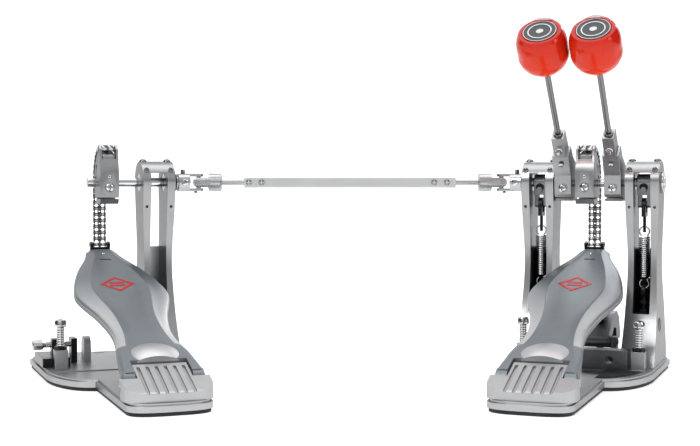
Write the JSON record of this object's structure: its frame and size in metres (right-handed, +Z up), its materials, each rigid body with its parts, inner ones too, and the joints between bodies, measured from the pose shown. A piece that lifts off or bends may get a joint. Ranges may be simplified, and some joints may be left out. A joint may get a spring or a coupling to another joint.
{
  "type": "bass drum pedal",
  "caption": "Double bass drum pedal: chain-drive footboards on cast base plates, twin beaters, spring cranks and a telescopic drive shaft with universal joints.",
  "frame": {"origin": "on the floor, straight below the middle of the main pedal's axle", "axes": "+X along the drive shaft away from the slave pedal, +Y toward the drum, +Z up"},
  "size_m": [0.6742, 0.363, 0.3564],
  "materials": {
    "cast_aluminium": "satin cast aluminium, bright on the edges",
    "board_aluminium": "fine blasted blue-grey aluminium",
    "clamp_aluminium": "dark grey cast aluminium",
    "chrome_steel": "polished chrome plate",
    "black_steel": "black oxide, semi-gloss",
    "rubber": "matt black rubber",
    "beater_red": "clear red cast resin"
  },
  "bodies": {
    "main_frame": {"right_base_plate": "cast_aluminium", "right_base_rubber": "rubber", "right_grip_mat": "rubber", "right_heel_plate": "cast_aluminium", "right_hinge_pin": "chrome_steel", "outer_column": "cast_aluminium", "inner_column": "cast_aluminium", "right_bearings": "chrome_steel", "right_column_bolts": "chrome_steel", "spring_posts": "black_steel", "hoop_casting": "clamp_aluminium"},
    "jaw": {"hoop_jaw": "clamp_aluminium"},
    "jaw_screw": {"hoop_screw": "black_steel"},
    "outer_spur": {"right_spur_outer": "chrome_steel"},
    "inner_spur": {"right_spur_inner": "chrome_steel"},
    "first_rotor": {"right_axle": "chrome_steel", "right_cam": "cast_aluminium", "first_hub": "cast_aluminium", "right_rotor_screws": "chrome_steel", "outer_crank": "clamp_aluminium"},
    "first_strand": {"right_chain": "chrome_steel"},
    "first_beater": {"first_beater_rod": "chrome_steel", "first_beater_head": "beater_red"},
    "second_rotor": {"second_axle": "chrome_steel", "second_hub": "cast_aluminium", "second_rotor_screws": "chrome_steel", "inner_crank": "clamp_aluminium", "right_yoke_a": "cast_aluminium"},
    "second_beater": {"second_beater_rod": "chrome_steel", "second_beater_head": "beater_red"},
    "outer_spring_swing": {"outer_spring": "chrome_steel"},
    "outer_spring_top": {"outer_stirrup": "black_steel"},
    "inner_spring_swing": {"inner_spring": "chrome_steel"},
    "inner_spring_top": {"inner_stirrup": "black_steel"},
    "right_board": {"right_footboard": "board_aluminium", "right_toe_clevis": "black_steel"},
    "drive": {"right_shaft": "cast_aluminium", "drive_tube": "cast_aluminium"},
    "right_spider": {"right_cross": "chrome_steel"},
    "carriage": {"left_shaft": "chrome_steel"},
    "left_fork": {"left_yoke_b": "cast_aluminium"},
    "left_spider": {"left_cross": "chrome_steel"},
    "slave_frame": {"left_base_plate": "cast_aluminium", "left_base_rubber": "rubber", "left_heel_plate": "cast_aluminium", "left_hinge_pin": "chrome_steel", "left_column": "cast_aluminium", "left_bearings": "chrome_steel", "left_column_bolts": "chrome_steel", "stand_plate": "black_steel"},
    "slave_spur": {"left_spur": "chrome_steel"},
    "clamp_screw": {"stand_screw": "chrome_steel"},
    "clamp_jaw": {"stand_jaw": "black_steel"},
    "slave_rotor": {"left_axle": "chrome_steel", "left_cam": "cast_aluminium", "left_rotor_screws": "chrome_steel", "left_yoke_a": "cast_aluminium"},
    "slave_strand": {"left_chain": "chrome_steel"},
    "slave_board": {"left_footboard": "board_aluminium", "left_toe_clevis": "black_steel"}
  },
  "joints": [
    {"name": "main_stroke", "type": "hinge", "parent": "main_frame", "child": "first_rotor", "pos_m": [0, 0, 0.195], "axis": [-0.9336, 0.3584, 0], "range_deg": [0, 45], "stiffness_Nm_per_rad": 0.8, "springref_deg": -28.65},
    {"name": "right_press", "type": "hinge", "parent": "main_frame", "child": "right_board", "pos_m": [-0.08959, -0.23339, 0.024], "axis": [-0.9336, 0.3584, 0], "range_deg": [0, 5.8]},
    {"name": "right_chain_run", "type": "hinge", "parent": "first_rotor", "child": "first_strand", "pos_m": [0.0085, 0.0333, 0.20914], "axis": [-0.9336, 0.3584, 0], "range_deg": [-53, 0], "deforming": ["right_chain"]},
    {"name": "outer_spring_swing", "type": "hinge", "parent": "main_frame", "child": "outer_spring_swing", "pos_m": [0.04995, -0.01917, 0.084], "axis": [0.9336, -0.3584, 0], "range_deg": [0, 9.6]},
    {"name": "outer_spring_stretch", "type": "slide", "parent": "outer_spring_swing", "child": "outer_spring_top", "axis": [0, 0, 1], "range_m": [0, 0.0085], "deforming": ["outer_spring"]},
    {"name": "first_beater_height", "type": "slide", "parent": "first_rotor", "child": "first_beater", "axis": [-0.2398, -0.6247, 0.7431], "range_m": [-0.004, 0.02]},
    {"name": "slave_stroke", "type": "hinge", "parent": "slave_frame", "child": "slave_rotor", "pos_m": [-0.503, 0, 0.195], "axis": [-0.9336, -0.3584, 0], "range_deg": [0, 45], "stiffness_Nm_per_rad": 0.8, "springref_deg": -28.65},
    {"name": "left_press", "type": "hinge", "parent": "slave_frame", "child": "slave_board", "pos_m": [-0.41341, -0.23339, 0.024], "axis": [-0.9336, -0.3584, 0], "range_deg": [0, 5.8]},
    {"name": "left_chain_run", "type": "hinge", "parent": "slave_rotor", "child": "slave_strand", "pos_m": [-0.5171, 0.03115, 0.20914], "axis": [-0.9336, -0.3584, 0], "range_deg": [-53, 0], "deforming": ["left_chain"]},
    {"name": "second_stroke", "type": "hinge", "parent": "main_frame", "child": "second_rotor", "pos_m": [0, 0, 0.195], "axis": [-0.9336, 0.3584, 0], "range_deg": [0, 45]},
    {"name": "inner_spring_swing", "type": "hinge", "parent": "main_frame", "child": "inner_spring_swing", "pos_m": [-0.04995, 0.01917, 0.084], "axis": [0.9336, -0.3584, 0], "range_deg": [0, 9.6]},
    {"name": "inner_spring_stretch", "type": "slide", "parent": "inner_spring_swing", "child": "inner_spring_top", "axis": [0, 0, 1], "range_m": [0, 0.0085], "deforming": ["inner_spring"]},
    {"name": "second_beater_height", "type": "slide", "parent": "second_rotor", "child": "second_beater", "axis": [-0.2398, -0.6247, 0.7431], "range_m": [-0.004, 0.02]},
    {"name": "drive_spin", "type": "hinge", "parent": "main_frame", "child": "drive", "pos_m": [-0.09056, 0.03476, 0.195], "axis": [-1, 0, 0], "range_deg": [0, 43.5]},
    {"name": "right_joint_tilt", "type": "hinge", "parent": "drive", "child": "right_spider", "pos_m": [-0.09056, 0.03476, 0.195], "axis": [0, 1, 0], "range_deg": [0, 15]},
    {"name": "telescope", "type": "slide", "parent": "main_frame", "child": "carriage", "axis": [-1, 0, 0], "range_m": [-0.015, 0.03]},
    {"name": "slave_swivel", "type": "hinge", "parent": "carriage", "child": "slave_frame", "pos_m": [-0.41244, 0.03476, 0.195], "axis": [0, 0, 1], "range_deg": [-20, 0]},
    {"name": "left_fork_spin", "type": "hinge", "parent": "carriage", "child": "left_fork", "pos_m": [-0.41244, 0.03476, 0.195], "axis": [-1, 0, 0], "range_deg": [0, 43.5]},
    {"name": "left_joint_tilt", "type": "hinge", "parent": "left_fork", "child": "left_spider", "pos_m": [-0.41244, 0.03476, 0.195], "axis": [0, -1, 0], "range_deg": [0, 15]},
    {"name": "hoop_screw_travel", "type": "slide", "parent": "main_frame", "child": "jaw_screw", "axis": [0, 0, 1], "range_m": [-0.0024, 0.0012]},
    {"name": "hoop_jaw_tilt", "type": "hinge", "parent": "main_frame", "child": "jaw", "pos_m": [0.0061, 0.00194, 0.03], "axis": [0.9336, -0.3584, 0], "range_deg": [-8.5, 4.5]},
    {"name": "outer_spur_travel", "type": "slide", "parent": "main_frame", "child": "outer_spur", "axis": [0, 0, 1], "range_m": [-0.007, 0.01]},
    {"name": "inner_spur_travel", "type": "slide", "parent": "main_frame", "child": "inner_spur", "axis": [0, 0, 1], "range_m": [-0.007, 0.01]},
    {"name": "slave_spur_travel", "type": "slide", "parent": "slave_frame", "child": "slave_spur", "axis": [0, 0, 1], "range_m": [-0.007, 0.01]},
    {"name": "stand_screw_travel", "type": "slide", "parent": "slave_frame", "child": "clamp_screw", "axis": [0.9336, 0.3584, 0], "range_m": [-0.004, 0.006]},
    {"name": "stand_jaw_travel", "type": "slide", "parent": "slave_frame", "child": "clamp_jaw", "axis": [0.9336, 0.3584, 0], "range_m": [-0.004, 0.006]}
  ],
  "couplings": [
    {"joint": "right_press", "follows": "main_stroke", "ratio": 0.12095},
    {"joint": "right_chain_run", "follows": "main_stroke", "ratio": -1.1382},
    {"joint": "outer_spring_swing", "follows": "main_stroke", "ratio": 0.20572},
    {"joint": "outer_spring_stretch", "follows": "main_stroke", "m_per_rad": 0.009808},
    {"joint": "left_press", "follows": "slave_stroke", "ratio": 0.12095},
    {"joint": "left_chain_run", "follows": "slave_stroke", "ratio": -1.1382},
    {"joint": "second_stroke", "follows": "slave_stroke", "ratio": 1},
    {"joint": "inner_spring_swing", "follows": "slave_stroke", "ratio": 0.20572},
    {"joint": "inner_spring_stretch", "follows": "slave_stroke", "m_per_rad": 0.009808},
    {"joint": "drive_spin", "follows": "slave_stroke", "ratio": 0.95628},
    {"joint": "right_joint_tilt", "follows": "slave_stroke", "ratio": 0.3262},
    {"joint": "left_fork_spin", "follows": "slave_stroke", "ratio": 0.95628},
    {"joint": "left_joint_tilt", "follows": "slave_stroke", "ratio": 0.3262},
    {"joint": "hoop_jaw_tilt", "follows": "hoop_screw_travel", "rad_per_m": 57.143},
    {"joint": "stand_jaw_travel", "follows": "stand_screw_travel", "ratio": 1}
  ]
}
